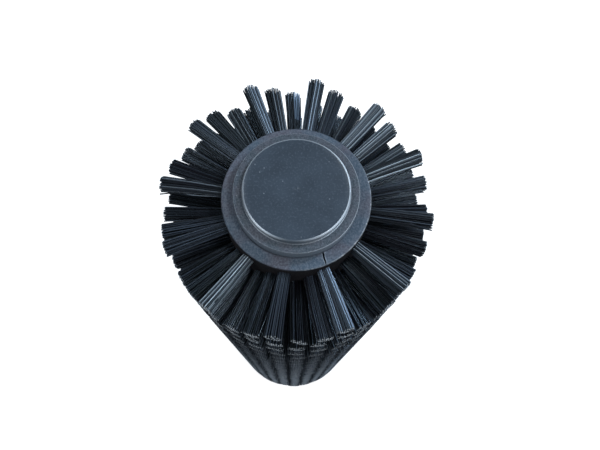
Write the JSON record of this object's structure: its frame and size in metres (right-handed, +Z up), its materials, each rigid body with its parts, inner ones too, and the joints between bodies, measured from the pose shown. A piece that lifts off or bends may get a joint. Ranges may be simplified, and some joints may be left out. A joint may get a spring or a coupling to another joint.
{
  "type": "roller brush",
  "caption": "Cylindrical roller brush: a plastic core tube with stepped end plugs and staggered tufts of stiff black filament.",
  "frame": {"origin": "centre of the lower plug's flat face, on the surface that the roller stands on", "axes": "+Z up the roller's axis; +Y is the side away from the picture's camera, +X to its right"},
  "size_m": [0.1502, 0.1502, 0.6],
  "materials": {
    "core_plastic": "rough turned black plastic, dark grey at a slant",
    "plug_plastic": "satin moulded black plastic with glossy edges",
    "filament": "extruded black filament with a soft sheen"
  },
  "bodies": {
    "root": {"core_tube": "core_plastic", "upper_end_plug": "plug_plastic", "lower_end_plug": "plug_plastic", "tuft_column_01": "filament", "tuft_column_02": "filament", "tuft_column_03": "filament", "tuft_column_04": "filament", "tuft_column_05": "filament", "tuft_column_06": "filament", "tuft_column_07": "filament", "tuft_column_08": "filament", "tuft_column_09": "filament", "tuft_column_10": "filament", "tuft_column_11": "filament", "tuft_column_12": "filament", "tuft_column_13": "filament", "tuft_column_14": "filament", "tuft_column_15": "filament", "tuft_column_16": "filament", "tuft_column_17": "filament", "tuft_column_18": "filament", "tuft_column_19": "filament", "tuft_column_20": "filament", "tuft_column_21": "filament", "tuft_column_22": "filament", "tuft_column_23": "filament", "tuft_column_24": "filament", "tuft_column_25": "filament", "tuft_column_26": "filament", "tuft_column_27": "filament", "tuft_column_28": "filament", "tuft_column_29": "filament", "tuft_column_30": "filament", "tuft_column_31": "filament", "tuft_column_32": "filament", "tuft_column_33": "filament", "tuft_column_34": "filament", "tuft_column_35": "filament", "tuft_column_36": "filament"}
  },
  "joints": []
}
